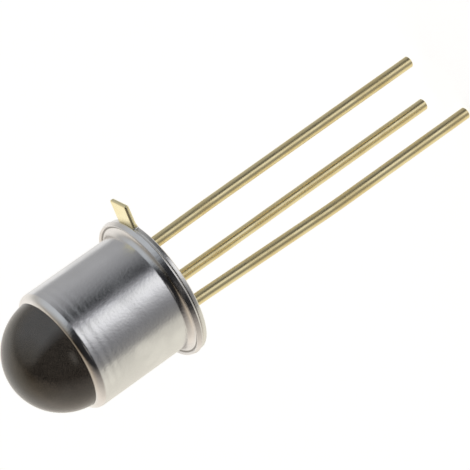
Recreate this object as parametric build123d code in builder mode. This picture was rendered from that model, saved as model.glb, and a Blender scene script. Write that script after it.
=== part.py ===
"""Phototransistor in a small round metal case, with a glass dome lens and three wire leads.

A gold-plated header carries the chip, and three leads pass down from it through a glass fill. A drawn
nickel cap with a dome lens fused into its mouth is welded to the header's flange.

All sizes are millimetres. The origin is the centre of the header's seating face. +Z runs up through
the cap to the lens, and the leads run down along -Z. Seen from above, the emitter, base and collector
leads stand at 0, 90 and 180 degrees, and the header's index tab points to -45 degrees.
"""

import os
from math import acos, cos, degrees, hypot, radians, sin

from build123d import *

# Header: a stamped cup turned upside down, with a flange and an index tab
FLANGE_RADIUS = 2.72
HEADER_SHEET = 0.22
HEADER_EDGE_BREAK = 0.04
PLUG_RADIUS = 2.04
PLUG_TOP = 1.05
PLUG_TOP_BREAK = 0.14
RECESS_RADIUS = PLUG_RADIUS - HEADER_SHEET
RECESS_TOP = PLUG_TOP - HEADER_SHEET
RECESS_MOUTH_BREAK = 0.08
TAB_ANGLE = -45.0
TAB_WIDTH = 1.0
TAB_ROOT_RADIUS = 2.3
TAB_TIP_RADIUS = 3.65
TAB_CORNER_ROUND = 0.07
TAB_ROOT_ROUND = 0.06

# Leads: round wire on the standard 2.54 mm circle
LEAD_RADIUS = 0.225
LEAD_CIRCLE_RADIUS = 1.27
LEAD_EDGE = 0.03
LEAD_BEND_RADIUS = 40.0
POST_TOP = 1.52
SEAL_HOLE_RADIUS = 0.45
EMITTER_ANGLE = 0.0
BASE_ANGLE = 90.0
COLLECTOR_ANGLE = 180.0
# Two slight bends and the tip of each lead: x and y off the line straight down from its top, and z
EMITTER_TURNS = [(0, 0, -0.6), (0.04, 0, -3.4), (0.075, 0, -13.1)]
BASE_TURNS = [(0, 0, -0.6), (0, 0.05, -3.4), (0.025, 0.12, -13.1)]
COLLECTOR_TURNS = [(0, 0, -0.8), (-0.178, 0, -7.0), (-0.178, 0, -13.5)]

# Glass fill in the header's recess, a little hollow between the metal wall and its middle
FILL_EDGE_Z = 0.12
FILL_CENTRE_Z = 0.2

# Cap: drawn from thin sheet, with a flange to weld and an open mouth
CAP_RADIUS = 2.35
CAP_BORE_RADIUS = 2.13
CAP_BASE = HEADER_SHEET
CAP_FLANGE_RADIUS = 2.775
CAP_EDGE_BREAK = 0.05
CAP_LIP_RADIUS = 2.71
CAP_LIP_TOP = CAP_BASE + 0.24
CAP_GROOVE_RADIUS = 2.61
CAP_GROOVE_Z = CAP_BASE + 0.15
CAP_ROOT_ROUND = 0.25
CAP_MOUTH_BREAK = 0.06
CAP_SHOULDER_Z = 4.2
CAP_RIM_ROUND = 0.32
RIM_CENTRE_RADIUS = CAP_RADIUS - CAP_RIM_ROUND
RIM_SWEEP = acos((CAP_BORE_RADIUS - RIM_CENTRE_RADIUS) / CAP_RIM_ROUND)
RIM_Z = CAP_SHOULDER_Z + CAP_RIM_ROUND * sin(RIM_SWEEP)

# Lens: a ball-fronted plug of glass that fills the cap's mouth
BALL_RADIUS = 2.14
BALL_CENTRE_Z = RIM_Z - BALL_RADIUS * sin(acos(CAP_BORE_RADIUS / BALL_RADIUS))
DOME_TOP = BALL_CENTRE_Z + BALL_RADIUS
LENS_BACK_EDGE_Z = 3.05
LENS_BACK_CENTRE_Z = 2.8

# Chip on its bond layer
BOND_SIDE = 0.9
BOND_CORNER_ROUND = 0.12
BOND_BASE = PLUG_TOP
BOND_THICK = 0.02
CHIP_SIDE = 0.8
CHIP_BASE = BOND_BASE + BOND_THICK
CHIP_THICK = 0.2
CHIP_FACE = CHIP_BASE + CHIP_THICK

# Bond wires: a ball on the chip, an arch, and a flat stitch on the post's top
WIRE_RADIUS = 0.02
WIRE_SIDES = 8
WIRE_PEAK_Z = 1.86
WIRE_CORNER_RADIUS = 0.12
WIRE_BALL_RADIUS = 0.055
WIRE_BALL_HEIGHT = 0.04
WIRE_BALL_BREAK = 0.012
STITCH_RADIUS = 0.05
STITCH_HEIGHT = 0.02
EMITTER_PAD = (0.24, -0.2)
BASE_PAD = (-0.12, 0.28)


def on_lead_circle(angle):
    """Return the x and y of a place on the lead circle."""
    return (
        LEAD_CIRCLE_RADIUS * cos(radians(angle)),
        LEAD_CIRCLE_RADIUS * sin(radians(angle)),
    )


def distance_from_axis(point):
    """Return how far a point stands from the case's axis."""
    return hypot(point.X, point.Y)


def on_outer_outline(edge):
    """Tell whether an edge runs round the outside of the flange and tab."""
    nearest = min(distance_from_axis(edge @ share) for share in (0, 0.5, 1))
    return nearest > TAB_ROOT_RADIUS


os.makedirs("parts", exist_ok=True)

SEALED_SPOTS = [on_lead_circle(EMITTER_ANGLE), on_lead_circle(BASE_ANGLE)]
LEAD_SPOTS = SEALED_SPOTS + [on_lead_circle(COLLECTOR_ANGLE)]

# The header is one stamping: flange, index tab, raised plug and the recess below it
with BuildPart() as header:
    with BuildSketch(Plane.XZ):
        with BuildLine():
            Polyline(
                (0, PLUG_TOP),
                (PLUG_RADIUS - PLUG_TOP_BREAK, PLUG_TOP),
                (PLUG_RADIUS, PLUG_TOP - PLUG_TOP_BREAK),
                (PLUG_RADIUS, HEADER_SHEET),
                (FLANGE_RADIUS, HEADER_SHEET),
                (FLANGE_RADIUS, 0),
                (RECESS_RADIUS + RECESS_MOUTH_BREAK, 0),
                (RECESS_RADIUS, RECESS_MOUTH_BREAK),
                (RECESS_RADIUS, RECESS_TOP),
                (0, RECESS_TOP),
                close=True,
            )
        make_face()
    revolve(axis=Axis.Z)
    with BuildSketch(Plane.XY.rotated((0, 0, TAB_ANGLE))):
        with Locations(((TAB_ROOT_RADIUS + TAB_TIP_RADIUS) / 2, 0)):
            Rectangle(TAB_TIP_RADIUS - TAB_ROOT_RADIUS, TAB_WIDTH)
    extrude(amount=HEADER_SHEET)
    upright = header.edges().filter_by(Axis.Z)
    fillet(upright.filter_by(lambda e: distance_from_axis(e.center()) > TAB_TIP_RADIUS), TAB_CORNER_ROUND)
    upright = header.edges().filter_by(Axis.Z).filter_by(on_outer_outline)
    fillet(upright.sort_by(lambda e: distance_from_axis(e.center()))[:2], TAB_ROOT_ROUND)
    outline = header.edges().filter_by(on_outer_outline).filter_by(Axis.Z, reverse=True)
    chamfer(outline, HEADER_EDGE_BREAK)
    with BuildSketch(Plane.XY.offset(RECESS_TOP)):
        with Locations(SEALED_SPOTS):
            Circle(SEAL_HOLE_RADIUS)
    extrude(amount=HEADER_SHEET, mode=Mode.SUBTRACT)
header.part.label = "header"
export_step(header.part, "parts/header.step")

# The glass fill is one melt: a disc in the recess, and a collar up through each seal hole
with BuildPart() as glass_fill:
    with BuildSketch(Plane.XZ):
        with BuildLine():
            Polyline(
                (RECESS_RADIUS, FILL_EDGE_Z),
                (RECESS_RADIUS, RECESS_TOP),
                (0, RECESS_TOP),
                (0, FILL_CENTRE_Z),
            )
            TangentArc((0, FILL_CENTRE_Z), (RECESS_RADIUS, FILL_EDGE_Z), tangent=(1, 0))
        make_face()
    revolve(axis=Axis.Z)
    with BuildSketch(Plane.XY.offset(RECESS_TOP)):
        with Locations(SEALED_SPOTS):
            Circle(SEAL_HOLE_RADIUS)
    extrude(amount=HEADER_SHEET)
    with BuildSketch(Plane.XY):
        with Locations(LEAD_SPOTS):
            Circle(LEAD_RADIUS)
    extrude(amount=PLUG_TOP, mode=Mode.SUBTRACT)
glass_fill.part.label = "glass_fill"
export_step(glass_fill.part, "parts/glass_fill.step")

# Two leads pass through seals and end as posts beside the chip. The collector lead is welded to the
# underside of the header. Each one wanders very slightly on its way down, as hand-straightened wire does.
LEADS = {
    "emitter_lead": (EMITTER_ANGLE, EMITTER_TURNS, POST_TOP),
    "base_lead": (BASE_ANGLE, BASE_TURNS, POST_TOP),
    "collector_lead": (COLLECTOR_ANGLE, COLLECTOR_TURNS, RECESS_TOP),
}
for lead_name, (angle, turns, head_z) in LEADS.items():
    x, y = on_lead_circle(angle)
    with BuildPart() as lead:
        with BuildLine() as route:
            FilletPolyline(
                (x, y, head_z),
                *[(x + dx, y + dy, z) for dx, dy, z in turns],
                radius=LEAD_BEND_RADIUS,
            )
        with BuildSketch(Plane.XY.offset(head_z)):
            with Locations((x, y)):
                Circle(LEAD_RADIUS)
        sweep(path=route.wire())
        rims = lead.edges().filter_by(GeomType.CIRCLE).sort_by(Axis.Z)
        chamfer([rims[0], rims[-1]], LEAD_EDGE)
    lead.part.label = lead_name
    export_step(lead.part, f"parts/{lead_name}.step")

# The cap is drawn from one disc: flange with a sloping edge and a lip, the groove that its weld ring
# leaves, root fillet, straight wall and a rim that rolls inwards
with BuildPart() as cap:
    with BuildSketch(Plane.XZ):
        with BuildLine():
            FilletPolyline(
                (CAP_BORE_RADIUS, RIM_Z),
                (CAP_BORE_RADIUS, CAP_BASE + CAP_MOUTH_BREAK),
                (CAP_BORE_RADIUS + CAP_MOUTH_BREAK, CAP_BASE),
                (CAP_FLANGE_RADIUS - CAP_EDGE_BREAK, CAP_BASE),
                (CAP_FLANGE_RADIUS, CAP_BASE + CAP_EDGE_BREAK),
                (CAP_LIP_RADIUS, CAP_LIP_TOP),
                (CAP_GROOVE_RADIUS, CAP_GROOVE_Z),
                (CAP_RADIUS, CAP_GROOVE_Z),
                (CAP_RADIUS, CAP_SHOULDER_Z),
                radius=[0, 0, 0, 0, 0, 0, CAP_ROOT_ROUND],
            )
            CenterArc((RIM_CENTRE_RADIUS, CAP_SHOULDER_Z), CAP_RIM_ROUND, 0, degrees(RIM_SWEEP))
        make_face()
    revolve(axis=Axis.Z)
cap.part.label = "cap"
export_step(cap.part, "parts/cap.step")

# The lens melts into the rim, with a ball front and a back that sags a little
with BuildPart() as lens:
    with BuildSketch(Plane.XZ):
        with BuildLine():
            TangentArc((0, DOME_TOP), (CAP_BORE_RADIUS, RIM_Z), tangent=(1, 0))
            Line((CAP_BORE_RADIUS, RIM_Z), (CAP_BORE_RADIUS, LENS_BACK_EDGE_Z))
            TangentArc((0, LENS_BACK_CENTRE_Z), (CAP_BORE_RADIUS, LENS_BACK_EDGE_Z), tangent=(1, 0))
            Line((0, LENS_BACK_CENTRE_Z), (0, DOME_TOP))
        make_face()
    revolve(axis=Axis.Z)
lens.part.label = "lens"
export_step(lens.part, "parts/lens.step")

# The bond layer is squeezed out a little past the chip
with BuildPart() as bond_layer:
    with BuildSketch(Plane.XY.offset(BOND_BASE)):
        RectangleRounded(BOND_SIDE, BOND_SIDE, BOND_CORNER_ROUND)
    extrude(amount=BOND_THICK)
bond_layer.part.label = "bond_layer"
export_step(bond_layer.part, "parts/bond_layer.step")

# The chip is a sawn square of silicon at the centre of the plug
with BuildPart() as chip:
    with BuildSketch(Plane.XY.offset(CHIP_BASE)):
        Rectangle(CHIP_SIDE, CHIP_SIDE)
    extrude(amount=CHIP_THICK)
chip.part.label = "chip"
export_step(chip.part, "parts/chip.step")

# Each bond wire rises from a ball on the chip, crosses, and comes down on its post
BOND_WIRES = {
    "emitter_bond_wire": (EMITTER_PAD, on_lead_circle(EMITTER_ANGLE)),
    "base_bond_wire": (BASE_PAD, on_lead_circle(BASE_ANGLE)),
}
for wire_name, (pad, post) in BOND_WIRES.items():
    ball_top = CHIP_FACE + WIRE_BALL_HEIGHT
    with BuildPart() as bond_wire:
        with BuildSketch(Plane.XY.offset(CHIP_FACE)):
            with Locations(pad):
                Circle(WIRE_BALL_RADIUS)
        extrude(amount=WIRE_BALL_HEIGHT)
        chamfer(bond_wire.edges().sort_by(Axis.Z)[-1], WIRE_BALL_BREAK)
        with BuildLine() as arch:
            FilletPolyline(
                (*pad, ball_top),
                (*pad, WIRE_PEAK_Z),
                (*post, WIRE_PEAK_Z),
                (*post, POST_TOP + STITCH_HEIGHT),
                radius=WIRE_CORNER_RADIUS,
            )
        with BuildSketch(Plane.XY.offset(ball_top)):
            with Locations(pad):
                RegularPolygon(WIRE_RADIUS, WIRE_SIDES)
        sweep(path=arch.wire())
        with BuildSketch(Plane.XY.offset(POST_TOP)):
            with Locations(post):
                Circle(STITCH_RADIUS)
        extrude(amount=STITCH_HEIGHT)
    bond_wire.part.label = wire_name
    export_step(bond_wire.part, f"parts/{wire_name}.step")
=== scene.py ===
"""Dressed model and studio for a phototransistor in a small round metal case.

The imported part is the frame. Each sub-assembly below is a class that holds its sizes in millimetres,
builds its meshes where the frame has them, and dresses them. Turned parts and wires are Geometry Nodes
trees, and the stamped header, the glass fill and the chip are built ring by ring.

The row frame is used throughout: +Z runs up through the case to the lens, and the leads run down.
"""

from __future__ import annotations

import logging
import math
from collections.abc import Callable, Iterable, Sequence
from dataclasses import dataclass, field
from enum import Enum

import bmesh
import bpy
from mathutils import Matrix, Vector

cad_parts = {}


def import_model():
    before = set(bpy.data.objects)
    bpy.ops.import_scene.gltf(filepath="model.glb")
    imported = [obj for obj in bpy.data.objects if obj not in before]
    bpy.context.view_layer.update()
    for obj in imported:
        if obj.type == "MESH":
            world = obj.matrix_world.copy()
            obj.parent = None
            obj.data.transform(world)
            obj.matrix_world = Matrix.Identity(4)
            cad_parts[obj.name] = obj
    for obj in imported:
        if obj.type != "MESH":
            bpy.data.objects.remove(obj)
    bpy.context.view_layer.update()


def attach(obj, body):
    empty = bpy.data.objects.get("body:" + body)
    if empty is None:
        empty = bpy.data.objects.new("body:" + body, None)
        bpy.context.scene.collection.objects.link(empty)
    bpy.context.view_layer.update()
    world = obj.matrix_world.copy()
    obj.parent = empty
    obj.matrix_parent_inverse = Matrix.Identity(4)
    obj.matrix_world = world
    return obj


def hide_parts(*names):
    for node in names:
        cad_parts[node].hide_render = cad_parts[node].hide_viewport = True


LOG = logging.getLogger("phototransistor")
MM = 0.001
BODY = "root"
TURN = 2 * math.pi

Point2 = tuple[float, float]
Colour = tuple[float, float, float]
Ring = list[tuple[float, float, float]]


class Slot(Enum):
    """The record's material slots."""

    NICKEL = "nickel"
    LENS_GLASS = "lens_glass"
    GOLD_PLATE = "gold_plate"
    FILL_GLASS = "fill_glass"
    GOLD_WIRE = "gold_wire"
    SILICON = "silicon"
    BOND_METAL = "bond_metal"
    BOND_GOLD = "bond_gold"


class NodeGraph:
    """A hand for building one node tree."""

    def __init__(self, tree: bpy.types.NodeTree) -> None:
        """Keep the tree that the nodes go into."""
        self.tree = tree

    def add(self, kind: str, **settings: object) -> bpy.types.Node:
        """Add a node and set its own options.

        Args:
            kind: the node's type name.
            settings: attributes of the node.

        Returns:
            The node.
        """
        node = self.tree.nodes.new(kind)
        for name, value in settings.items():
            setattr(node, name, value)
        return node

    def feed(self, socket: bpy.types.NodeSocket, value: object) -> None:
        """Link an output to a socket, or set the socket's own value.

        Args:
            socket: the input.
            value: an output socket, or a plain value.
        """
        if isinstance(value, bpy.types.NodeSocket):
            self.tree.links.new(value, socket)
        else:
            socket.default_value = value

    def fill(self, node: bpy.types.Node, **values: object) -> bpy.types.Node:
        """Feed a node's inputs by name, with _ for a space.

        Args:
            node: the node.
            values: an output socket or a plain value for each input.

        Returns:
            The node.
        """
        for name, value in values.items():
            self.feed(node.inputs[name.replace("_", " ")], value)
        return node

    def math(self, operation: str, *terms: object, clamp: bool = False) -> bpy.types.NodeSocket:
        """Add a Math node.

        Args:
            operation: the node's operation.
            terms: its inputs in order.
            clamp: keep the result between 0 and 1.

        Returns:
            The result.
        """
        node = self.add("ShaderNodeMath", operation=operation, use_clamp=clamp)
        for socket, term in zip(node.inputs, terms):
            self.feed(socket, term)
        return node.outputs[0]

    def vector(self, operation: str, *terms: object) -> bpy.types.Node:
        """Add a Vector Math node.

        Args:
            operation: the node's operation.
            terms: its inputs in order.

        Returns:
            The node.
        """
        node = self.add("ShaderNodeVectorMath", operation=operation)
        for socket, term in zip(node.inputs, terms):
            self.feed(socket, term)
        return node

    def span(self, value: object, low: float, high: float, to: Point2 = (0, 1)) -> bpy.types.NodeSocket:
        """Map a range smoothly onto another.

        Args:
            value: the number to map.
            low: where the range starts.
            high: where it ends.
            to: what the two ends become.

        Returns:
            The mapped number.
        """
        node = self.add("ShaderNodeMapRange", interpolation_type="SMOOTHSTEP")
        for socket, term in zip(node.inputs, (value, low, high, *to)):
            self.feed(socket, term)
        return node.outputs[0]

    def blend(self, share: object, first: object, second: object) -> bpy.types.NodeSocket:
        """Mix two colours.

        Args:
            share: how much of the second.
            first: a colour.
            second: a colour.

        Returns:
            The mixed colour.
        """
        node = self.add("ShaderNodeMix", data_type="RGBA")
        self.feed(node.inputs[0], share)
        for socket, term in ((node.inputs[6], first), (node.inputs[7], second)):
            self.feed(socket, opaque(term) if isinstance(term, tuple) else term)
        return node.outputs[2]

    def tint(self, colour: object, filter_colour: object) -> bpy.types.NodeSocket:
        """Multiply two colours.

        Args:
            colour: a colour.
            filter_colour: what it is multiplied by.

        Returns:
            The product.
        """
        node = self.add("ShaderNodeMix", data_type="RGBA", blend_type="MULTIPLY")
        node.inputs[0].default_value = 1.0
        self.feed(node.inputs[6], colour)
        self.feed(node.inputs[7], filter_colour)
        return node.outputs[2]

    def ramp(self, value: object, stops: Sequence[tuple[float, Colour]]) -> bpy.types.NodeSocket:
        """Add a colour ramp.

        Args:
            value: a number from 0 to 1.
            stops: each place with its colour.

        Returns:
            The colour.
        """
        node = self.add("ShaderNodeValToRGB")
        elements = node.color_ramp.elements
        while len(elements) < len(stops):
            elements.new(0.5)
        for element, (place, colour) in zip(elements, stops):
            element.position = place
        for element, (place, colour) in zip(elements, stops):
            element.color = opaque(colour)
        self.feed(node.inputs[0], value)
        return node.outputs[0]

    def noise(self, place: object, scale: object, detail: float = 2.0, rough: float = 0.5) -> bpy.types.NodeSocket:
        """Add a noise texture.

        Args:
            place: where it is read.
            scale: features per metre.
            detail: how many finer octaves.
            rough: how strong they are.

        Returns:
            The noise, about 0 to 1.
        """
        node = self.add("ShaderNodeTexNoise")
        self.fill(node, Vector=place, Scale=scale, Detail=detail, Roughness=rough)
        return node.outputs["Fac"]


def opaque(colour: Sequence[float]) -> tuple[float, float, float, float]:
    """Return a colour with full alpha."""
    return (colour[0], colour[1], colour[2], 1.0)


def shown(red: float, green: float, blue: float) -> Colour:
    """Turn a colour as a screen shows it, 0 to 255, into linear light.

    Args:
        red: screen red.
        green: screen green.
        blue: screen blue.

    Returns:
        The linear colour.
    """

    def linear(value: float) -> float:
        """Return one channel in linear light."""
        share = value / 255
        return share / 12.92 if share <= 0.04045 else ((share + 0.055) / 1.055) ** 2.4

    return (linear(red), linear(green), linear(blue))


# ---------------------------------------------------------------------------------------------------
# Sections and meshes


@dataclass
class Section:
    """A turned part's section: points in the r-z plane in millimetres, with rounds where wanted."""

    arc_step: float = math.radians(7.5)
    hold: float = 0.012
    points: list[Point2] = field(default_factory=list)

    def corners(self, *corners: tuple[float, float, float]) -> Section:
        """Run through corners, each given as r, z and the radius of its round.

        Args:
            corners: the corners in order, where the first and last have no round.

        Returns:
            The section itself.
        """
        for index, (r, z, radius) in enumerate(corners):
            here = Vector((r, z))
            if radius <= 0 or index in (0, len(corners) - 1):
                self._run_to(here)
                continue
            before = (Vector(corners[index - 1][:2]) - here).normalized()
            after = (Vector(corners[index + 1][:2]) - here).normalized()
            half = before.angle(after) / 2
            back = radius / math.tan(half)
            centre = here + (before + after).normalized() * (radius / math.sin(half))
            self._arc(centre, here + before * back, here + after * back)
        return self

    def arc(self, centre: Point2, radius: float, start: float, end: float) -> Section:
        """Add an arc by its centre.

        Args:
            centre: r and z of the centre.
            radius: the arc's radius.
            start: first angle in degrees from +r towards +z.
            end: last angle in degrees.

        Returns:
            The section itself.
        """
        steps = max(2, math.ceil(abs(math.radians(end - start)) / self.arc_step))
        for step in range(steps + 1):
            angle = math.radians(start + (end - start) * step / steps)
            spot = (centre[0] + radius * math.cos(angle), centre[1] + radius * math.sin(angle))
            if step == 0:
                self._run_to(Vector(spot))
            else:
                self.points.append(spot)
        return self

    def _arc(self, centre: Vector, start: Vector, end: Vector) -> None:
        """Add the short arc between two points round a centre."""
        first = math.atan2(*(start - centre).yx)
        last = math.atan2(*(end - centre).yx)
        turn = (last - first + math.pi) % TURN - math.pi
        self.arc(tuple(centre), (start - centre).length, math.degrees(first), math.degrees(first + turn))

    def _run_to(self, end: Vector) -> None:
        """Add a straight run, with a point close to each of its ends so that it shades flat."""
        if self.points:
            start = Vector(self.points[-1])
            length = (end - start).length
            if length < 1e-6:
                return
            if length > 4 * self.hold:
                along = (end - start) / length
                self.points.append(tuple(start + along * self.hold))
                self.points.append(tuple(end - along * self.hold))
        self.points.append(tuple(end))


def loft(rings: Sequence[Ring], name: str) -> bpy.types.Object:
    """Build a closed mesh through rings of the same number of points, in millimetres.

    Args:
        rings: the rings in order. The first and last are closed with a face each.
        name: the object's name.

    Returns:
        The object, in metres.
    """
    mesh = bpy.data.meshes.new(name)
    build = bmesh.new()
    rows = [[build.verts.new([c * MM for c in spot]) for spot in ring] for ring in rings]
    count = len(rows[0])
    for low, high in zip(rows, rows[1:]):
        for i in range(count):
            j = (i + 1) % count
            build.faces.new((low[i], low[j], high[j], high[i]))
    build.faces.new(rows[0][::-1])
    build.faces.new(rows[-1])
    bmesh.ops.remove_doubles(build, verts=build.verts, dist=1e-8)
    bmesh.ops.recalc_face_normals(build, faces=build.faces)
    build.to_mesh(mesh)
    build.free()
    return link(bpy.data.objects.new(name, mesh))


def link(piece: bpy.types.Object) -> bpy.types.Object:
    """Put an object in the scene and return it."""
    bpy.context.scene.collection.objects.link(piece)
    return piece


def smooth(piece: bpy.types.Object, crease: float = 30.0) -> None:
    """Shade a mesh smooth, with sharp edges where it turns by more than an angle.

    Args:
        piece: the object.
        crease: the angle in degrees.
    """
    mesh = piece.data
    mesh.polygons.foreach_set("use_smooth", [True] * len(mesh.polygons))
    build = bmesh.new()
    build.from_mesh(mesh)
    for edge in build.edges:
        edge.smooth = len(edge.link_faces) == 2 and edge.calc_face_angle(0) < math.radians(crease)
    build.to_mesh(mesh)
    build.free()


def line_mesh(name: str, points: Iterable[Sequence[float]], widths: Sequence[float] = ()) -> bpy.types.Object:
    """Make an object that is one polyline, in metres, for a tree to work on.

    Args:
        name: the object's name.
        points: its points in millimetres.
        widths: a radius in millimetres for each point, kept as an attribute.

    Returns:
        The object.
    """
    spots = [[c * MM for c in point] for point in points]
    mesh = bpy.data.meshes.new(name)
    mesh.from_pydata(spots, [(i, i + 1) for i in range(len(spots) - 1)], [])
    if widths:
        kept = mesh.attributes.new("width", "FLOAT", "POINT")
        kept.data.foreach_set("value", [w * MM for w in widths])
    return link(bpy.data.objects.new(name, mesh))


def make_tree(name: str, sizes: Sequence[tuple[str, str, object]]) -> tuple[NodeGraph, bpy.types.Node, bpy.types.Node]:
    """Start a Geometry Nodes tree with named inputs.

    Args:
        name: the tree's name.
        sizes: each input's name, socket type and default.

    Returns:
        The graph, its input node and its output node.
    """
    tree = bpy.data.node_groups.new(name, "GeometryNodeTree")
    tree.interface.new_socket("Geometry", in_out="INPUT", socket_type="NodeSocketGeometry")
    for label, kind, default in sizes:
        socket = tree.interface.new_socket(label, in_out="INPUT", socket_type=kind)
        if default is not None:
            socket.default_value = default
    tree.interface.new_socket("Geometry", in_out="OUTPUT", socket_type="NodeSocketGeometry")
    graph = NodeGraph(tree)
    return graph, graph.add("NodeGroupInput"), graph.add("NodeGroupOutput")


def finish_tree(graph: NodeGraph, shape: bpy.types.NodeSocket, source: bpy.types.Node, end: bpy.types.Node) -> None:
    """End a tree: smooth faces, creases by angle, real geometry and the material.

    Args:
        graph: the graph.
        shape: the finished geometry.
        source: the tree's input node, with Crease and Material inputs.
        end: the tree's output node.
    """
    faces = graph.add("GeometryNodeSetShadeSmooth", domain="FACE")
    graph.feed(faces.inputs["Geometry"], shape)
    turn = graph.add("GeometryNodeInputMeshEdgeAngle").outputs["Unsigned Angle"]
    edges = graph.add("GeometryNodeSetShadeSmooth", domain="EDGE")
    graph.feed(edges.inputs["Geometry"], faces.outputs[0])
    graph.feed(edges.inputs["Selection"], graph.math("GREATER_THAN", turn, source.outputs["Crease"]))
    edges.inputs["Shade Smooth"].default_value = False
    real = graph.add("GeometryNodeRealizeInstances")
    graph.feed(real.inputs["Geometry"], edges.outputs[0])
    dress = graph.add("GeometryNodeSetMaterial")
    graph.feed(dress.inputs["Geometry"], real.outputs[0])
    graph.feed(dress.inputs["Material"], source.outputs["Material"])
    graph.feed(end.inputs["Geometry"], dress.outputs[0])


def turned_tree() -> bpy.types.NodeTree:
    """Build the tree that turns a section round the Z axis.

    Its geometry is the section's polyline, with r along X and z along Z. A grid has one column for each
    step round the axis and one row for each point of the section, and each of its points is moved to its
    place. The seam and the poles are then merged.

    Returns:
        The tree.
    """
    graph, source, end = make_tree(
        "turned_part",
        (
            ("Steps Round", "NodeSocketInt", 192),
            ("Merge Distance", "NodeSocketFloat", 1e-7),
            ("Crease", "NodeSocketFloat", math.radians(30)),
            ("Material", "NodeSocketMaterial", None),
        ),
    )
    section = source.outputs["Geometry"]
    rows = graph.add("GeometryNodeAttributeDomainSize", component="MESH")
    graph.feed(rows.inputs["Geometry"], section)
    count = rows.outputs["Point Count"]
    grid = graph.add("GeometryNodeMeshGrid")
    graph.feed(grid.inputs["Vertices X"], graph.math("ADD", source.outputs["Steps Round"], 1))
    graph.feed(grid.inputs["Vertices Y"], count)
    index = graph.add("GeometryNodeInputIndex").outputs[0]
    column = graph.math("FLOOR", graph.math("DIVIDE", graph.math("ADD", index, 0.5), count))
    row = graph.math("SUBTRACT", index, graph.math("MULTIPLY", column, count))
    spot = graph.add("GeometryNodeSampleIndex", data_type="FLOAT_VECTOR", domain="POINT")
    graph.feed(spot.inputs["Geometry"], section)
    graph.feed(spot.inputs["Value"], graph.add("GeometryNodeInputPosition").outputs[0])
    graph.feed(spot.inputs["Index"], row)
    parts = graph.add("ShaderNodeSeparateXYZ")
    graph.feed(parts.inputs[0], spot.outputs[0])
    step = graph.math("DIVIDE", TURN, source.outputs["Steps Round"])
    angle = graph.math("MULTIPLY", column, step)
    place = graph.add("ShaderNodeCombineXYZ")
    graph.feed(place.inputs[0], graph.math("MULTIPLY", parts.outputs[0], graph.math("COSINE", angle)))
    graph.feed(place.inputs[1], graph.math("MULTIPLY", parts.outputs[0], graph.math("SINE", angle)))
    graph.feed(place.inputs[2], parts.outputs[2])
    moved = graph.add("GeometryNodeSetPosition")
    graph.feed(moved.inputs["Geometry"], grid.outputs["Mesh"])
    graph.feed(moved.inputs["Position"], place.outputs[0])
    merged = graph.add("GeometryNodeMergeByDistance")
    graph.feed(merged.inputs["Geometry"], moved.outputs[0])
    graph.feed(merged.inputs["Distance"], source.outputs["Merge Distance"])
    finish_tree(graph, merged.outputs[0], source, end)
    return graph.tree


def wire_tree() -> bpy.types.NodeTree:
    """Build the tree that gives a path a round body, with the radius that each point's width says.

    Returns:
        The tree.
    """
    graph, source, end = make_tree(
        "round_wire",
        (
            ("Sides", "NodeSocketInt", 48),
            ("Crease", "NodeSocketFloat", math.radians(30)),
            ("Material", "NodeSocketMaterial", None),
        ),
    )
    path = graph.add("GeometryNodeMeshToCurve")
    graph.feed(path.inputs["Mesh"], source.outputs["Geometry"])
    width = graph.add("GeometryNodeInputNamedAttribute", data_type="FLOAT")
    width.inputs["Name"].default_value = "width"
    sized = graph.add("GeometryNodeSetCurveRadius")
    graph.feed(sized.inputs["Curve"], path.outputs[0])
    graph.feed(sized.inputs["Radius"], width.outputs["Attribute"])
    round_section = graph.add("GeometryNodeCurvePrimitiveCircle", mode="RADIUS")
    graph.feed(round_section.inputs["Resolution"], source.outputs["Sides"])
    round_section.inputs["Radius"].default_value = 1.0
    body = graph.add("GeometryNodeCurveToMesh")
    graph.feed(body.inputs["Curve"], sized.outputs[0])
    graph.feed(body.inputs["Profile Curve"], round_section.outputs[0])
    body.inputs["Fill Caps"].default_value = True
    if "Scale" in body.inputs:
        graph.feed(body.inputs["Scale"], width.outputs["Attribute"])
    finish_tree(graph, body.outputs[0], source, end)
    return graph.tree


def grow(piece: bpy.types.Object, tree: bpy.types.NodeTree, sizes: dict[str, object]) -> bpy.types.Object:
    """Run a tree on an object, and keep the result as its plain mesh.

    Args:
        piece: the object whose mesh the tree starts from.
        tree: the Geometry Nodes tree.
        sizes: a value for each named input.

    Returns:
        The same object with its final mesh.
    """
    modifier = piece.modifiers.new("shape", "NODES")
    modifier.node_group = tree
    for item in tree.interface.items_tree:
        if item.item_type == "SOCKET" and item.in_out == "INPUT" and item.name in sizes:
            modifier[item.identifier] = sizes[item.name]
    graph = bpy.context.evaluated_depsgraph_get()
    mesh = bpy.data.meshes.new_from_object(piece.evaluated_get(graph), depsgraph=graph)
    piece.modifiers.remove(modifier)
    old = piece.data
    piece.data = mesh
    bpy.data.meshes.remove(old)
    mesh.name = piece.name
    return piece


def turn_out(piece: bpy.types.Object) -> None:
    """Make every face of a closed mesh point outwards."""
    build = bmesh.new()
    build.from_mesh(piece.data)
    bmesh.ops.recalc_face_normals(build, faces=build.faces)
    build.to_mesh(piece.data)
    build.free()


def circle(radius: float, z: float, count: int, centre: Point2 = (0, 0)) -> Ring:
    """Return a level ring of points.

    Args:
        radius: its radius.
        z: its height.
        count: how many points.
        centre: x and y of its centre.

    Returns:
        The ring.
    """
    angles = [TURN * i / count for i in range(count)]
    return [(centre[0] + radius * math.cos(a), centre[1] + radius * math.sin(a), z) for a in angles]


def place(piece: bpy.types.Object, slot: Slot, *nodes: str) -> bpy.types.Object:
    """Tell the frame what a finished piece rides on and stands for.

    Args:
        piece: the piece.
        slot: its material slot in the record; not used.
        nodes: the nodes that it stands for.

    Returns:
        The piece.
    """
    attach(piece, BODY)
    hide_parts(*nodes)
    LOG.info("%s stands for %s with %d faces", piece.name, ", ".join(nodes), len(piece.data.polygons))
    return piece


# ---------------------------------------------------------------------------------------------------
# Finishes


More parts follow.
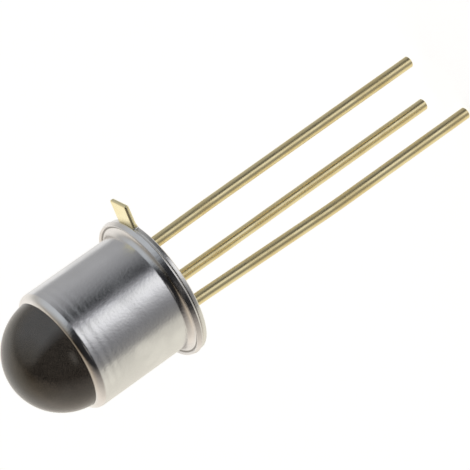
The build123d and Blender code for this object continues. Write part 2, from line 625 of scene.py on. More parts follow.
def object_place(graph: NodeGraph) -> bpy.types.NodeSocket:
    """Return the Object coordinates in a material's graph."""
    return graph.add("ShaderNodeTexCoord").outputs["Object"]


class EffectGroups:
    """Shader node groups for the effects that several finishes share, built once."""

    def __init__(self) -> None:
        """Build the groups."""
        self.grain = self._grain()
        self.drawn_rings = self._drawn_rings()
        self.ring_mask = self._ring_mask()

    @staticmethod
    def _start(name: str, inputs: Sequence[tuple[str, str, object]], outputs: Sequence[tuple[str, str]]) -> tuple:
        """Start a shader group with its sockets.

        Args:
            name: the group's name.
            inputs: each input's name, type and default.
            outputs: each output's name and type.

        Returns:
            The graph, its input node and its output node.
        """
        tree = bpy.data.node_groups.new(name, "ShaderNodeTree")
        for label, kind, default in inputs:
            socket = tree.interface.new_socket(label, in_out="INPUT", socket_type=kind)
            if default is not None:
                socket.default_value = default
        for label, kind in outputs:
            tree.interface.new_socket(label, in_out="OUTPUT", socket_type=kind)
        graph = NodeGraph(tree)
        return graph, graph.add("NodeGroupInput"), graph.add("NodeGroupOutput")

    def _grain(self) -> bpy.types.NodeTree:
        """Build the fine grain of a plated surface: bumps, broad unevenness and a haze mask."""
        graph, source, end = self._start(
            "plated_grain",
            (
                ("Place", "NodeSocketVector", None),
                ("Grain Size", "NodeSocketFloat", 9e-5),
                ("Broad Size", "NodeSocketFloat", 1.2e-3),
                ("Broad Share", "NodeSocketFloat", 0.3),
            ),
            (("Height", "NodeSocketFloat"), ("Haze", "NodeSocketFloat")),
        )
        fine_scale = graph.math("DIVIDE", 1.0, source.outputs["Grain Size"])
        broad_scale = graph.math("DIVIDE", 1.0, source.outputs["Broad Size"])
        fine = graph.noise(source.outputs["Place"], fine_scale, 1.5, 0.45)
        broad = graph.noise(source.outputs["Place"], broad_scale, 2.0, 0.5)
        height = graph.math("MULTIPLY_ADD", broad, source.outputs["Broad Share"], fine)
        graph.feed(end.inputs["Height"], height)
        graph.feed(end.inputs["Haze"], broad)
        return graph.tree

    def _drawn_rings(self) -> bpy.types.NodeTree:
        """Build the faint rings that drawing leaves round a can, stronger near its rim."""
        graph, source, end = self._start(
            "drawn_rings",
            (
                ("Place", "NodeSocketVector", None),
                ("Ring Pitch", "NodeSocketFloat", 3.1e-4),
                ("Fade From", "NodeSocketFloat", 2.9e-3),
                ("Fade To", "NodeSocketFloat", 3.9e-3),
            ),
            (("Height", "NodeSocketFloat"), ("Share", "NodeSocketFloat")),
        )
        parts = graph.add("ShaderNodeSeparateXYZ")
        graph.feed(parts.inputs[0], source.outputs["Place"])
        up = parts.outputs[2]
        wander = graph.noise(source.outputs["Place"], 120.0, 0.0, 0.5)
        phase = graph.math("ADD", graph.math("DIVIDE", up, source.outputs["Ring Pitch"]), wander)
        wave = graph.math("SINE", graph.math("MULTIPLY", phase, TURN))
        share = graph.span(up, source.outputs["Fade From"], source.outputs["Fade To"])
        graph.feed(end.inputs["Height"], graph.math("MULTIPLY", wave, share))
        graph.feed(end.inputs["Share"], share)
        return graph.tree


    def _ring_mask(self) -> bpy.types.NodeTree:
        """Build a soft mask round the axis: from one radius out to another, and below a height."""
        graph, source, end = self._start(
            "ring_mask",
            (
                ("Place", "NodeSocketVector", None),
                ("Inner", "NodeSocketFloat", 2.4e-3),
                ("Outer", "NodeSocketFloat", 2.8e-3),
                ("Top", "NodeSocketFloat", 1.0),
                ("Softness", "NodeSocketFloat", 4e-5),
            ),
            (("Mask", "NodeSocketFloat"),),
        )
        parts = graph.add("ShaderNodeSeparateXYZ")
        graph.feed(parts.inputs[0], source.outputs["Place"])
        square_x = graph.math("MULTIPLY", parts.outputs[0], parts.outputs[0])
        away = graph.math("SQRT", graph.math("MULTIPLY_ADD", parts.outputs[1], parts.outputs[1], square_x))
        soft = source.outputs["Softness"]
        outside = graph.math("DIVIDE", graph.math("SUBTRACT", away, source.outputs["Inner"]), soft)
        inside = graph.math("DIVIDE", graph.math("SUBTRACT", source.outputs["Outer"], away), soft)
        below = graph.math("DIVIDE", graph.math("SUBTRACT", source.outputs["Top"], parts.outputs[2]), soft)
        edges = [graph.math("ADD", edge, 0.5, clamp=True) for edge in (outside, inside, below)]
        graph.feed(end.inputs["Mask"], graph.math("MULTIPLY", graph.math("MULTIPLY", edges[0], edges[1]), edges[2]))
        return graph.tree


@dataclass(frozen=True)
class MetalFinish:
    """A plated or bare metal, with fine grain and broad unevenness."""

    name: str
    colour: Colour
    dull_colour: Colour
    roughness: float
    haze: float
    grain_size: float
    grain_depth: float
    broad_depth: float = 0.3

    def build(self, effects: EffectGroups) -> tuple[bpy.types.Material, NodeGraph, dict[str, bpy.types.Node]]:
        """Build the material.

        Args:
            effects: the shared groups.

        Returns:
            The material, its graph and its named nodes.
        """
        material, graph, shader = new_material(self.name)
        spot = object_place(graph)
        grain = graph.add("ShaderNodeGroup", node_tree=effects.grain)
        graph.fill(grain, Place=spot, Grain_Size=self.grain_size, Broad_Share=self.broad_depth)
        hazy = graph.span(grain.outputs["Haze"], 0.35, 0.7)
        colour = graph.blend(hazy, self.colour, self.dull_colour)
        graph.feed(shader.inputs["Base Color"], colour)
        rough = graph.math("MULTIPLY_ADD", hazy, self.haze, self.roughness)
        graph.feed(shader.inputs["Roughness"], rough)
        shader.inputs["Metallic"].default_value = 1.0
        bump = graph.add("ShaderNodeBump")
        graph.fill(bump, Strength=1.0, Distance=self.grain_depth, Height=grain.outputs["Height"])
        graph.feed(shader.inputs["Normal"], bump.outputs[0])
        return material, graph, {"shader": shader, "colour": colour.node, "rough": rough.node, "bump": bump}


@dataclass(frozen=True)
class GlassFinish:
    """A dark glass that light passes, with a little unevenness."""

    name: str
    colour: Colour
    deep_colour: Colour
    transmission: float
    roughness: float
    index: float = 1.52

    def build(self) -> bpy.types.Material:
        """Build the material."""
        material, graph, shader = new_material(self.name)
        spot = object_place(graph)
        cloud = graph.noise(spot, 900.0, 2.0, 0.5)
        graph.feed(shader.inputs["Base Color"], graph.blend(cloud, self.colour, self.deep_colour))
        graph.feed(shader.inputs["Roughness"], graph.span(cloud, 0.3, 0.7, (self.roughness, self.roughness * 1.6)))
        shader.inputs["Transmission Weight"].default_value = self.transmission
        shader.inputs["IOR"].default_value = self.index
        return material


def new_material(name: str) -> tuple[bpy.types.Material, NodeGraph, bpy.types.Node]:
    """Start a node material.

    Args:
        name: its name.

    Returns:
        The material, its graph and its Principled shader.
    """
    material = bpy.data.materials.new(name)
    material.use_nodes = True
    graph = NodeGraph(material.node_tree)
    return material, graph, material.node_tree.nodes["Principled BSDF"]


NICKEL = MetalFinish("nickel_plate", (0.85, 0.85, 0.86), (0.79, 0.79, 0.8), 0.19, 0.07, 1e-4, 3.2e-6)
GOLD_PLATE = MetalFinish("pale_gold_plate", (1.0, 0.93, 0.63), (0.97, 0.87, 0.53), 0.2, 0.1, 7e-5, 2e-6)
GOLD_WIRE = MetalFinish("gold_plated_wire", (1.0, 0.87, 0.52), (0.97, 0.81, 0.44), 0.27, 0.1, 1.2e-4, 8e-7)
BOND_GOLD = MetalFinish("fine_gold_wire", (0.95, 0.77, 0.38), (0.9, 0.7, 0.32), 0.2, 0.1, 2e-5, 2e-7)
BOND_METAL = MetalFinish("dull_bond_metal", (0.6, 0.5, 0.33), (0.45, 0.37, 0.25), 0.45, 0.2, 4e-5, 2e-6)
SILICON = MetalFinish("polished_silicon", (0.2, 0.2, 0.24), (0.16, 0.16, 0.2), 0.12, 0.06, 8e-5, 2e-7)
# Grey of the painted shade in the groove round the cap's flange
GROOVE_SHADE_GREY = (0.36, 0.35, 0.34)
EDGE_SILVER = (0.84, 0.83, 0.81)
LENS_GLASS = GlassFinish("smoke_glass", (0.075, 0.066, 0.056), (0.06, 0.053, 0.046), 0.9, 0.03, 1.9)
FILL_GLASS = GlassFinish("dark_fill_glass", (0.1, 0.11, 0.1), (0.06, 0.07, 0.06), 0.35, 0.06)


class Finishes:
    """Every material of the part, each built once."""

    def __init__(self) -> None:
        """Build the materials from their finishes."""
        effects = EffectGroups()
        self.nickel = self._drawn_nickel(effects)
        self.gold_plate = self._stamped_gold(effects)
        self.gold_wire = GOLD_WIRE.build(effects)[0]
        self.bond_gold = BOND_GOLD.build(effects)[0]
        self.bond_metal = BOND_METAL.build(effects)[0]
        self.silicon = SILICON.build(effects)[0]
        self.lens_glass = LENS_GLASS.build()
        self.fill_glass = FILL_GLASS.build()

    @staticmethod
    def _drawn_nickel(effects: EffectGroups) -> bpy.types.Material:
        """Build the cap's nickel, with the rings of drawing over its grain, and a grey ring of painted shade in the
        flange's groove.
        """
        material, graph, nodes = NICKEL.build(effects)
        rings = graph.add("ShaderNodeGroup", node_tree=effects.drawn_rings)
        graph.feed(rings.inputs["Place"], object_place(graph))
        bump = graph.add("ShaderNodeBump")
        graph.fill(bump, Strength=1.0, Distance=1.3e-6, Height=rings.outputs["Height"])
        graph.feed(bump.inputs["Normal"], nodes["bump"].outputs[0])
        graph.feed(nodes["shader"].inputs["Normal"], bump.outputs[0])
        # Painted shade: a grey, rougher ring round the cap at the groove in its flange, where shade falls
        groove_shade = graph.add("ShaderNodeGroup", node_tree=effects.ring_mask)
        graph.fill(groove_shade, Place=object_place(graph), Inner=2.57e-3, Outer=2.635e-3, Top=4.2e-4, Softness=3e-5)
        mask = groove_shade.outputs["Mask"]
        colour = graph.blend(mask, nodes["colour"].outputs[2], GROOVE_SHADE_GREY)
        graph.feed(nodes["shader"].inputs["Base Color"], colour)
        rough = graph.math("MULTIPLY_ADD", mask, 0.2, nodes["rough"].outputs[0])
        graph.feed(nodes["shader"].inputs["Roughness"], rough)
        return material

    @staticmethod
    def _stamped_gold(effects: EffectGroups) -> bpy.types.Material:
        """Build the header's gold, with the flange's cut edge left silver and finely scored."""
        material, graph, nodes = GOLD_PLATE.build(effects)
        spot = object_place(graph)
        edge = graph.add("ShaderNodeGroup", node_tree=effects.ring_mask)
        graph.fill(edge, Place=spot, Inner=2.62e-3, Outer=2.76e-3)
        mask = edge.outputs["Mask"]
        graph.feed(nodes["shader"].inputs["Base Color"], graph.blend(mask, nodes["colour"].outputs[2], EDGE_SILVER))
        stretched = graph.vector("MULTIPLY", spot, (1.0, 1.0, 0.12)).outputs[0]
        scores = graph.math("MULTIPLY", graph.noise(stretched, 16000.0, 1.0, 0.5), mask)
        bump = graph.add("ShaderNodeBump")
        graph.fill(bump, Strength=1.0, Distance=1.5e-6, Height=scores)
        graph.feed(bump.inputs["Normal"], nodes["bump"].outputs[0])
        graph.feed(nodes["shader"].inputs["Normal"], bump.outputs[0])
        return material


# ---------------------------------------------------------------------------------------------------
# The part


@dataclass
class Trees:
    """The Geometry Nodes trees, built once."""

    turned: bpy.types.NodeTree = field(default_factory=turned_tree)
    wire: bpy.types.NodeTree = field(default_factory=wire_tree)


@dataclass
class Cap:
    """The drawn nickel can: flange, root fillet, wall and the rim that rolls in over the glass."""

    radius: float = 2.35
    bore: float = 2.125
    base: float = 0.22
    flange_radius: float = 2.788
    lip_radius: float = 2.71
    lip_top: float = 0.46
    groove_radius: float = 2.61
    groove_z: float = 0.37
    edge_round: float = 0.05
    lip_round: float = 0.02
    mouth_round: float = 0.08
    root_round: float = 0.25
    shoulder: float = 4.2
    rim_round: float = 0.32
    steps: int = 320

    def build(self, trees: Trees, finishes: Finishes) -> None:
        """Turn the can and put it in its place.

        Args:
            trees: the shared trees.
            finishes: the materials.
        """
        rim_centre = self.radius - self.rim_round
        rim_end = math.degrees(math.acos((self.bore - rim_centre) / self.rim_round))
        section = Section(arc_step=math.radians(6))
        section.corners(
            (self.bore, self.shoulder, 0),
            (self.bore, self.base, self.mouth_round),
            (self.flange_radius, self.base, self.edge_round),
            (self.lip_radius, self.lip_top, self.lip_round),
            (self.groove_radius, self.groove_z, self.lip_round),
            (self.radius, self.groove_z, self.root_round),
            (self.radius, self.shoulder, 0),
        )
        section.arc((rim_centre, self.shoulder), self.rim_round, 0, rim_end)
        section.corners((*section.points[0], 0))
        line = line_mesh("cap", [(r, 0, z) for r, z in section.points])
        sizes = {"Steps Round": self.steps, "Material": finishes.nickel}
        cap = grow(line, trees.turned, sizes)
        turn_out(cap)
        place(cap, Slot.NICKEL, "cap")


@dataclass
class Lens:
    """The dark glass dome, fused into the cap's mouth."""

    radius: float = 2.13
    across: float = 2.135
    along: float = 2.17
    centre: float = 4.267
    rim: float = 4.46
    back_edge: float = 3.05
    back_centre: float = 2.8
    steps: int = 192
    rows: int = 64

    def build(self, trees: Trees, finishes: Finishes) -> None:
        """Turn the dome and its sagging back.

        Args:
            trees: the shared trees.
            finishes: the materials.
        """
        start = math.asin((self.rim - self.centre) / self.along)
        front = [start + (math.pi / 2 - start) * i / self.rows for i in range(self.rows + 1)]
        points = [(self.across * math.cos(a), self.centre + self.along * math.sin(a)) for a in front[:-1]]
        sag = self.back_edge - self.back_centre
        back_ball = (self.radius**2 + sag**2) / (2 * sag)
        span = math.asin(self.radius / back_ball)
        middle = self.back_centre + back_ball
        angles = [span * i / self.rows for i in range(self.rows + 1)]
        back = [(back_ball * math.sin(a), middle - back_ball * math.cos(a)) for a in angles[1:]]
        side = [(self.radius, self.back_edge + 0.02), (self.radius, self.rim - 0.02)]
        top, bottom = (0, self.centre + self.along), (0, self.back_centre)
        profile = [bottom, *back, *side, *points, top]
        line = line_mesh("lens", [(r, 0, z) for r, z in profile])
        lens = grow(line, trees.turned, {"Steps Round": self.steps, "Material": finishes.lens_glass})
        turn_out(lens)
        place(lens, Slot.LENS_GLASS, "lens")


@dataclass
class Header:
    """The gold-plated stamping: flange, index tab, raised plug and the recess below it."""

    flange: float = 2.72
    sheet: float = 0.22
    edge_round: float = 0.06
    tab_round: float = 0.09
    tab_lift: float = 0.035
    plug: float = 2.04
    plug_top: float = 1.05
    plug_round: float = 0.14
    recess: float = 1.82
    mouth_round: float = 0.1
    tab_angle: float = -45.0
    tab_half: float = 0.5
    tab_tip: float = 3.649
    tip_round: float = 0.07
    root_round: float = 0.06
    flange_steps: int = 300
    tab_steps: int = 16
    corner_steps: int = 6
    edge_steps: int = 6
    seal_radius: float = 0.45
    seals: tuple[Point2, ...] = ((1.27, 0.0), (0.0, 1.27))

    def outline(self, inset: float) -> list[Point2]:
        """Return the flange and tab in plan, with the same number of points whatever the inset.

        Args:
            inset: how far in from the outer edge.

        Returns:
            The outline, counter-clockwise, as x and y.
        """
        ring, half, tip = self.flange - inset, self.tab_half - inset, self.tab_tip - inset
        corner, root = max(self.tip_round - inset, 0.01), self.root_round + inset
        root_y = half + root
        root_x = math.sqrt((ring + root) ** 2 - root_y**2)
        meet = math.atan2(root_y, root_x)
        points: list[Point2] = []
        for i in range(self.flange_steps + 1):
            angle = meet + (TURN - 2 * meet) * i / self.flange_steps
            points.append((ring * math.cos(angle), ring * math.sin(angle)))
        points += arc_points((root_x, -root_y), root, 180 - math.degrees(meet), 90, self.corner_steps)[1:]
        points += run_points((root_x, -half), (tip - corner, -half), self.tab_steps)
        points += arc_points((tip - corner, corner - half), corner, -90, 0, self.corner_steps)[1:]
        points += run_points((tip, corner - half), (tip, half - corner), self.tab_steps)
        points += arc_points((tip - corner, half - corner), corner, 0, 90, self.corner_steps)[1:]
        points += run_points((tip - corner, half), (root_x, half), self.tab_steps)
        points += arc_points((root_x, root_y), root, -90, -180 + math.degrees(meet), self.corner_steps)[1:-1]
        turn = math.radians(self.tab_angle)
        c, s = math.cos(turn), math.sin(turn)
        return [(c * x - s * y, s * x + c * y) for x, y in points]

    def _edge_rings(self) -> list[Ring]:
        """Return the rings of the rounded outer edge, from the bottom face up to the top face."""
        rings = []
        for lower in (True, False):
            for i in range(self.edge_steps + 1):
                turn = math.pi / 2 * i / self.edge_steps
                across = 1 - (math.sin(turn) if lower else math.cos(turn))
                up = 1 - (math.cos(turn) if lower else math.sin(turn))
                flat, deep = self.outline(self.edge_round * across), self.outline(self.tab_round * across)
                ring = []
                for (x, y), (tab_x, tab_y) in zip(flat, deep):
                    share = min(max((math.hypot(x, y) - self.flange) / 0.15, 0), 1) if lower else 0
                    rise = (self.edge_round + (self.tab_round - self.edge_round) * share) * up
                    z = rise + self.tab_lift * share if lower else self.sheet - rise
                    ring.append((x + (tab_x - x) * share, y + (tab_y - y) * share, z))
                rings.append(ring)
        return rings

    def build(self, finishes: Finishes) -> None:
        """Build the stamping ring by ring, then pierce its seal holes.

        Args:
            finishes: the materials.
        """
        edge = self._edge_rings()
        plan = self.outline(self.edge_round)
        headings = [math.atan2(y, x) for x, y in plan]

        def level(radius: float, z: float) -> Ring:
            """Return a ring with a point on each heading of the outline."""
            return [(radius * math.cos(h), radius * math.sin(h), z) for h in headings]

        inside = Section(arc_step=math.radians(10)).corners(
            (0.0, self.recess_top, 0),
            (self.recess, self.recess_top, 0),
            (self.recess, 0.0, self.mouth_round),
            (self.flange - 0.2, 0.0, 0),
        )
        outside = Section(arc_step=math.radians(10)).corners(
            (self.flange - 0.2, self.sheet, 0),
            (self.plug, self.sheet, 0.04),
            (self.plug, self.plug_top, self.plug_round),
            (0.0, self.plug_top, 0),
        )
        rings = [level(max(r, 1e-4), z) for r, z in inside.points] + edge
        rings += [level(max(r, 1e-4), z) for r, z in outside.points]
        header = loft(rings, "header")
        self._pierce(header)
        smooth(header)
        header.data.materials.append(finishes.gold_plate)
        place(header, Slot.GOLD_PLATE, "header")

    @property
    def recess_top(self) -> float:
        """Return the height of the recess's roof."""
        return self.plug_top - self.sheet

    def _pierce(self, header: bpy.types.Object) -> None:
        """Cut the seal holes through the plug's top."""
        for number, spot in enumerate(self.seals):
            low, high = self.recess_top - 0.1, self.plug_top + 0.1
            rings = [circle(self.seal_radius, z, 64, spot) for z in (low, high)]
            drill = loft(rings, f"drill_{number}")
            cut = header.modifiers.new("seal_hole", "BOOLEAN")
            cut.object, cut.operation, cut.solver = drill, "DIFFERENCE", "EXACT"
            graph = bpy.context.evaluated_depsgraph_get()
            mesh = bpy.data.meshes.new_from_object(header.evaluated_get(graph), depsgraph=graph)
            header.modifiers.remove(cut)
            header.data = mesh
            bpy.data.objects.remove(drill)


def arc_points(centre: Point2, radius: float, start: float, end: float, steps: int) -> list[Point2]:
    """Return points along an arc.

    Args:
        centre: its centre.
        radius: its radius.
        start: first angle in degrees.
        end: last angle in degrees.
        steps: how many steps.

    Returns:
        The points, both ends among them.
    """
    angles = [math.radians(start + (end - start) * i / steps) for i in range(steps + 1)]
    return [(centre[0] + radius * math.cos(a), centre[1] + radius * math.sin(a)) for a in angles]


def run_points(start: Point2, end: Point2, steps: int) -> list[Point2]:
    """Return evenly spaced points after the start of a straight run, its end among them."""
    shares = [(i + 1) / steps for i in range(steps)]
    return [(start[0] + (end[0] - start[0]) * s, start[1] + (end[1] - start[1]) * s) for s in shares]


@dataclass
class GlassFill:
    """The dark glass in the header's recess, which creeps down each lead, and its two collars."""

    radius: float = 1.825
    top: float = 0.83
    edge_z: float = 0.12
    centre_z: float = 0.2
    creep: float = 0.06
    reach: float = 0.07
    lead_radius: float = 0.225
    leads: tuple[Point2, ...] = ((1.27, 0.0), (0.0, 1.27), (-1.27, 0.0))
    collar_radius: float = 0.455
    collar_top: float = 1.05
    collar_rise: float = 0.03
    rings: int = 72
    steps: int = 288

    def underside(self, x: float, y: float) -> float:
        """Return the height of the glass's lower face.

        Args:
            x: place.
            y: place.

        Returns:
            The height.
        """
        away = math.hypot(x, y)
        z = self.centre_z - (self.centre_z - self.edge_z) * (away / self.radius) ** 2
        for lead_x, lead_y in self.leads:
            gap = max(math.hypot(x - lead_x, y - lead_y) - self.lead_radius, 0)
            z -= self.creep * math.exp(-gap / self.reach)
        return z

    def build(self, finishes: Finishes) -> None:
        """Build the melt and its collars as one piece.

        Args:
            finishes: the materials.
        """
        rings: list[Ring] = []
        for i in range(self.rings + 1):
            flat = circle(max(self.radius * i / self.rings, 1e-4), 0, self.steps)
            rings.append([(x, y, self.underside(x, y)) for x, y, _ in flat])
        rings.append(circle(self.radius, self.top, self.steps))
        rings.append(circle(1e-4, self.top, self.steps))
        fill = loft(rings, "glass_fill")
        collars = [self._collar(spot) for spot in self.leads[:2]]
        merge(fill, collars)
        smooth(fill, 40)
        fill.data.materials.append(finishes.fill_glass)
        place(fill, Slot.FILL_GLASS, "glass_fill")

    def _collar(self, spot: Point2) -> bpy.types.Object:
        """Return the ring of glass in one seal hole, drawn up a little round its lead."""
        outer, inner = self.collar_radius, self.lead_radius - 0.01
        rings = [circle(inner, self.top - 0.05, 64, spot), circle(outer, self.top - 0.05, 64, spot)]
        for i in range(9):
            share = i / 8
            radius = outer + (inner - outer) * share
            rings.append(circle(radius, self.collar_top + self.collar_rise * share**3, 64, spot))
        rings.append(circle(inner, self.top - 0.05, 64, spot))
        mesh_rings = loft_tube(rings, "collar")
        return mesh_rings


def loft_tube(rings: Sequence[Ring], name: str) -> bpy.types.Object:
    """Build a mesh through rings whose first and last are the same, so that it closes on itself.

    Args:
        rings: the rings in order.
        name: the object's name.

    Returns:
        The object, in metres.
    """
    mesh = bpy.data.meshes.new(name)
    build = bmesh.new()
    rows = [[build.verts.new([c * MM for c in spot]) for spot in ring] for ring in rings[:-1]]
    rows.append(rows[0])
    count = len(rows[0])
    for low, high in zip(rows, rows[1:]):
        for i in range(count):
            j = (i + 1) % count
            build.faces.new((low[i], low[j], high[j], high[i]))
    bmesh.ops.recalc_face_normals(build, faces=build.faces)
    build.to_mesh(mesh)
    build.free()
    return link(bpy.data.objects.new(name, mesh))


def merge(piece: bpy.types.Object, others: Sequence[bpy.types.Object]) -> None:
    """Join other objects' meshes into a piece, and remove them.

    Args:
        piece: what they go into.
        others: the objects.
    """
    build = bmesh.new()
    build.from_mesh(piece.data)
    for other in others:
        build.from_mesh(other.data)
        bpy.data.objects.remove(other)
    build.to_mesh(piece.data)
    build.free()


@dataclass
class Lead:
    """One gold-plated lead, a little splayed, with its ends broken."""

    name: str
    spot: Point2
    head: float
    turns: tuple[tuple[float, float, float], ...]
    radius: float = 0.225
    bend_radius: float = 40.0
    edge: float = 0.03
    sides: int = 64

    def route(self) -> list[Vector]:
        """Return the centre line's points from the head to the tip, in millimetres."""
        origin = Vector((*self.spot, 0))
        corners = [Vector((*self.spot, self.head))] + [origin + Vector(turn) for turn in self.turns]
        ways = [(end - start).normalized() for start, end in zip(corners, corners[1:])]
        points = [corners[0] + ways[0] * share * self.edge for share in (0, 1, 1.5)]
        for corner, before, after in zip(corners[1:], ways, ways[1:]):
            back = self.bend_radius * math.tan(before.angle(after) / 2)
            start, end = corner - before * back, corner + after * back
            points += [start.lerp(corner, t).lerp(corner.lerp(end, t), t) for t in (0, 0.25, 0.5, 0.75, 1)]
        return points + [corners[-1] - ways[-1] * share * self.edge for share in (1.5, 1, 0)]

    def build(self, trees: Trees, finishes: Finishes) -> None:
        """Give the route its round body.

        Args:
            trees: the shared trees.
            finishes: the materials.
        """
        points = self.route()
        widths = [self.radius] * len(points)
        widths[0] = widths[-1] = self.radius - self.edge
        line = line_mesh(self.name, points, widths)
        lead = grow(line, trees.wire, {"Sides": self.sides, "Material": finishes.gold_wire})
        turn_out(lead)
        place(lead, Slot.GOLD_WIRE, self.name)


@dataclass
class ChipSet:
    """The chip on its bond layer, and the two gold wires from its pads to the posts."""

    side: float = 0.8
    base: float = 1.07
    thick: float = 0.2
    bond_side: float = 0.9
    bond_base: float = 1.05
    bond_thick: float = 0.02
    bond_corner: float = 0.12
    wire_radius: float = 0.02
    wire_peak: float = 1.86
    wire_corner: float = 0.12
    ball_radius: float = 0.055
    ball_height: float = 0.04
    stitch_radius: float = 0.05
    stitch_height: float = 0.02
    post_top: float = 1.52
    emitter_pad: Point2 = (0.24, -0.2)
    base_pad: Point2 = (-0.12, 0.28)

    def build(self, trees: Trees, finishes: Finishes) -> None:
        """Build the chip, its bond layer and both bond wires.

        Args:
            trees: the shared trees.
            finishes: the materials.
        """
        half = self.side / 2
        rings = [square(half, 0.0, self.base, 1), square(half, 0.0, self.base + self.thick, 1)]
        chip = loft(rings, "chip")
        smooth(chip)
        chip.data.materials.append(finishes.silicon)
        place(chip, Slot.SILICON, "chip")
        half = self.bond_side / 2
        heights = (self.bond_base, self.bond_base + self.bond_thick)
        bond = loft([square(half, self.bond_corner, z, 6) for z in heights], "bond_layer")
        smooth(bond)
        bond.data.materials.append(finishes.bond_metal)
        place(bond, Slot.BOND_METAL, "bond_layer")
        self._bond_wire("emitter_bond_wire", self.emitter_pad, (1.27, 0.0), trees, finishes)
        self._bond_wire("base_bond_wire", self.base_pad, (0.0, 1.27), trees, finishes)

    def _bond_wire(self, name: str, pad: Point2, post: Point2, trees: Trees, finishes: Finishes) -> None:
        """Build one wire: ball, rise, crossing and stitch."""
        face = self.base + self.thick
        ball_top = face + self.ball_height
        stitch_top = self.post_top + self.stitch_height
        rise = Vector((*pad, self.wire_peak))
        drop = Vector((*post, self.wire_peak))
        along = (drop - rise).normalized()
        up = Vector((0, 0, 1))
        points = [Vector((*pad, face)), Vector((*pad, ball_top - 0.012)), Vector((*pad, ball_top))]
        widths = [self.ball_radius, self.ball_radius, self.ball_radius - 0.012]
        points.append(Vector((*pad, ball_top + 0.001)))
        widths.append(self.wire_radius)
        for corner, back, on in ((rise, -up, along), (drop, -along, -up)):
            centre = corner + (back + on) * self.wire_corner
            for i in range(9):
                angle = math.pi / 2 * i / 8
                points.append(centre - on * self.wire_corner * math.cos(angle) - back * self.wire_corner * math.sin(angle))
                widths.append(self.wire_radius)
        points.append(Vector((*post, stitch_top + 0.001)))
        widths.append(self.wire_radius)
        points += [Vector((*post, stitch_top)), Vector((*post, self.post_top))]
        widths += [self.stitch_radius, self.stitch_radius]
        wire = grow(line_mesh(name, points, widths), trees.wire, {"Sides": 16, "Material": finishes.bond_gold})
        turn_out(wire)
        place(wire, Slot.BOND_GOLD, name)


def square(half: float, corner: float, z: float, steps: int) -> Ring:
    """Return a level square ring.

    Args:
        half: half its side.
        corner: the radius of its corners.
        z: its height.
        steps: how many steps round each corner.

    Returns:
        The ring.
    """
    ring: Ring = []
    inner = half - corner
    for start, (x, y) in zip((0, 90, 180, 270), ((1, 1), (-1, 1), (-1, -1), (1, -1))):
        if corner <= 0:
            ring.append((x * half, y * half, z))
            continue
        ring += [(px, py, z) for px, py in arc_points((x * inner, y * inner), corner, start, start + 90, steps)]
    return ring


# ---------------------------------------------------------------------------------------------------
# Studio


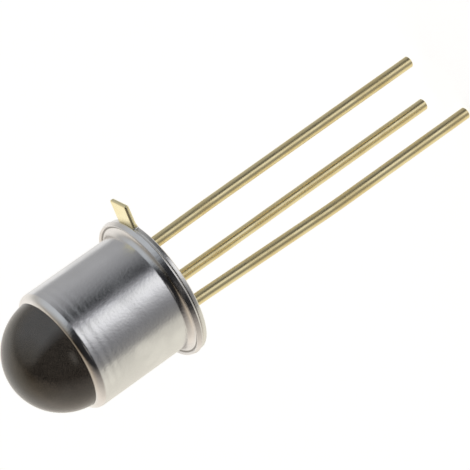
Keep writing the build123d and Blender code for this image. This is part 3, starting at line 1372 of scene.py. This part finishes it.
@dataclass
class Studio:
    """Camera, floor and soft room light."""

    tilt: float = 68.95
    heading: float = 12.0
    roll: float = 35.38
    distance: float = 110.0
    shift_right: float = 2.726
    shift_down: float = -1.716
    scale: float = 28.45
    frame_pixels: float = 470.0
    sensor: float = 36.0
    floor_z: float = -13.6
    floor_half: float = 400.0

    def axes(self) -> tuple[Vector, Vector, Vector]:
        """Return the camera's right, down and forward directions."""
        rho, phi, roll = (math.radians(a) for a in (self.heading, self.tilt, self.roll))
        across = Vector((-math.cos(rho), math.sin(rho), 0))
        towards = Vector((-math.sin(rho), -math.cos(rho), 0))
        up = Vector((0, 0, 1))
        leads = -math.sin(phi) * up + math.cos(phi) * towards
        right = math.cos(roll) * leads + math.sin(roll) * across
        down = -math.sin(roll) * leads + math.cos(roll) * across
        forward = -math.cos(phi) * up - math.sin(phi) * towards
        return right, down, forward

    def build(self) -> None:
        """Set up the view, the room light and the floor."""
        self._camera()
        self._world()
        self._floor()
        bpy.context.scene.view_settings.view_transform = "Standard"

    def _camera(self) -> None:
        """Place the camera where the photograph was taken from."""
        right, down, forward = self.axes()
        data = bpy.data.cameras.new("camera")
        data.sensor_width = self.sensor
        data.lens = self.scale * self.distance / self.frame_pixels * self.sensor
        data.clip_start = 0.001
        data.clip_end = 10.0
        camera = link(bpy.data.objects.new("camera", data))
        place_at = right * self.shift_right + down * self.shift_down - forward * self.distance
        turn = Matrix((right, -down, -forward)).transposed().to_4x4()
        camera.matrix_world = Matrix.Translation(place_at * MM) @ turn
        bpy.context.scene.camera = camera

    def _world(self) -> None:
        """Light the room: a white sweep, grey and dark cards, and plain white behind for the camera."""
        world = bpy.data.worlds.new("room")
        world.use_nodes = True
        bpy.context.scene.world = world
        graph = NodeGraph(world.node_tree)
        background = world.node_tree.nodes["Background"]
        rho = math.radians(self.heading)
        heading = graph.add("ShaderNodeTexCoord").outputs["Generated"]
        side = graph.vector("DOT_PRODUCT", heading, (-math.cos(rho), math.sin(rho), 0)).outputs["Value"]
        front = graph.vector("DOT_PRODUCT", heading, (-math.sin(rho), -math.cos(rho), 0)).outputs["Value"]
        parts = graph.add("ShaderNodeSeparateXYZ")
        graph.feed(parts.inputs[0], heading)
        height = parts.outputs[2]
        swing = graph.math("MULTIPLY_ADD", graph.math("ARCTAN2", side, front), 1 / TURN, 0.5)
        low = graph.ramp(swing, [(0.5 + a / 360, shown(*c)) for a, c in LOW_BELT])
        high = graph.ramp(swing, [(0.5 + a / 360, shown(*c)) for a, c in HIGH_BELT])
        room = graph.blend(graph.span(height, -0.3, -0.12), low, high)
        room = graph.tint(room, graph.ramp(height, OVERHEAD))
        room = graph.blend(graph.span(height, -0.75, -0.95), room, shown(225, 220, 210))
        card_height = graph.math("MULTIPLY", graph.span(height, -0.04, 0.1), graph.span(height, 0.27, 0.1))
        card_swing = graph.math("MULTIPLY", graph.span(swing, 0.51, 0.55), graph.span(swing, 0.62, 0.57))
        room = graph.blend(graph.math("MULTIPLY", card_height, card_swing), room, shown(165, 160, 154))
        camera_ray = graph.add("ShaderNodeLightPath").outputs["Is Camera Ray"]
        graph.feed(background.inputs["Color"], graph.blend(camera_ray, room, (1.0, 1.0, 1.0)))
        background.inputs["Strength"].default_value = 1.0

    def _floor(self) -> None:
        """Lay the floor, white from above and clear from below."""
        half, z = self.floor_half * MM, self.floor_z * MM
        mesh = bpy.data.meshes.new("floor")
        mesh.from_pydata([(-half, -half, z), (half, -half, z), (half, half, z), (-half, half, z)], [], [(0, 1, 2, 3)])
        floor = link(bpy.data.objects.new("floor", mesh))
        material, graph, shader = new_material("floor_white")
        shader.inputs["Base Color"].default_value = opaque((0.48, 0.49, 0.51))
        shader.inputs["Roughness"].default_value = 1.0
        shader.inputs["Specular IOR Level"].default_value = 0.0
        camera_ray = graph.add("ShaderNodeLightPath").outputs["Is Camera Ray"]
        shader.inputs["Emission Color"].default_value = opaque((1.0, 1.0, 1.0))
        graph.feed(shader.inputs["Emission Strength"], graph.math("MULTIPLY", camera_ray, 0.83))
        clear = graph.add("ShaderNodeBsdfTransparent")
        mix = graph.add("ShaderNodeMixShader")
        graph.feed(mix.inputs[0], graph.add("ShaderNodeNewGeometry").outputs["Backfacing"])
        graph.feed(mix.inputs[1], shader.outputs[0])
        graph.feed(mix.inputs[2], clear.outputs[0])
        graph.feed(material.node_tree.nodes["Material Output"].inputs["Surface"], mix.outputs[0])
        mesh.materials.append(material)
        floor.visible_glossy = False


# How the room dims towards the dark space overhead, by the height of the heading
OVERHEAD = (
    (0.5, (1.0, 1.0, 1.0)),
    (0.8, (0.78, 0.74, 0.68)),
    (0.94, (0.56, 0.51, 0.44)),
    (0.985, (0.26, 0.22, 0.17)),
    (1.0, (0.06, 0.05, 0.03)),
)
# The room as the part's upright walls see it, by swing from the camera in degrees, in screen colours
LOW_BELT = (
    (-180, (248, 246, 240)),
    (-140, (238, 237, 236)),
    (-132, (165, 165, 166)),
    (-95, (170, 170, 171)),
    (-66, (136, 136, 138)),
    (-52, (98, 98, 100)),
    (-42, (48, 48, 49)),
    (-33, (52, 52, 54)),
    (-25, (120, 120, 124)),
    (-17, (222, 222, 226)),
    (-8, (255, 255, 255)),
    (4, (252, 252, 254)),
    (24, (172, 172, 174)),
    (38, (138, 138, 140)),
    (64, (150, 148, 145)),
    (72, (224, 220, 208)),
    (110, (238, 234, 220)),
    (180, (236, 231, 218)),
)
# The room above the horizon, in the same way
HIGH_BELT = (
    (-180, (255, 250, 241)),
    (-150, (250, 244, 236)),
    (-135, (231, 226, 218)),
    (-120, (184, 180, 174)),
    (-95, (190, 192, 194)),
    (-42, (190, 194, 198)),
    (-18, (42, 42, 44)),
    (58, (36, 36, 38)),
    (82, (160, 152, 144)),
    (100, (195, 187, 176)),
    (135, (247, 236, 222)),
    (180, (255, 250, 241)),
)


def lead_set() -> list[Lead]:
    """Return the three leads, each where the frame has it."""
    return [
        Lead("emitter_lead", (1.27, 0.0), 1.52, ((0, 0, -0.6), (0.04, 0, -3.4), (0.075, 0, -13.1))),
        Lead("base_lead", (0.0, 1.27), 1.52, ((0, 0, -0.6), (0, 0.05, -3.4), (0.025, 0.12, -13.1))),
        Lead("collector_lead", (-1.27, 0.0), 0.83, ((0, 0, -0.8), (-0.178, 0, -7.0), (-0.178, 0, -13.5))),
    ]


def main() -> None:
    """Load the frame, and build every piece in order."""
    logging.basicConfig(level=logging.INFO, format="%(message)s")
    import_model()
    trees, finishes = Trees(), Finishes()
    Studio().build()
    Cap().build(trees, finishes)
    Lens().build(trees, finishes)
    Header().build(finishes)
    GlassFill().build(finishes)
    for lead in lead_set():
        lead.build(trees, finishes)
    ChipSet().build(trees, finishes)


if __name__ == "__main__":
    main()
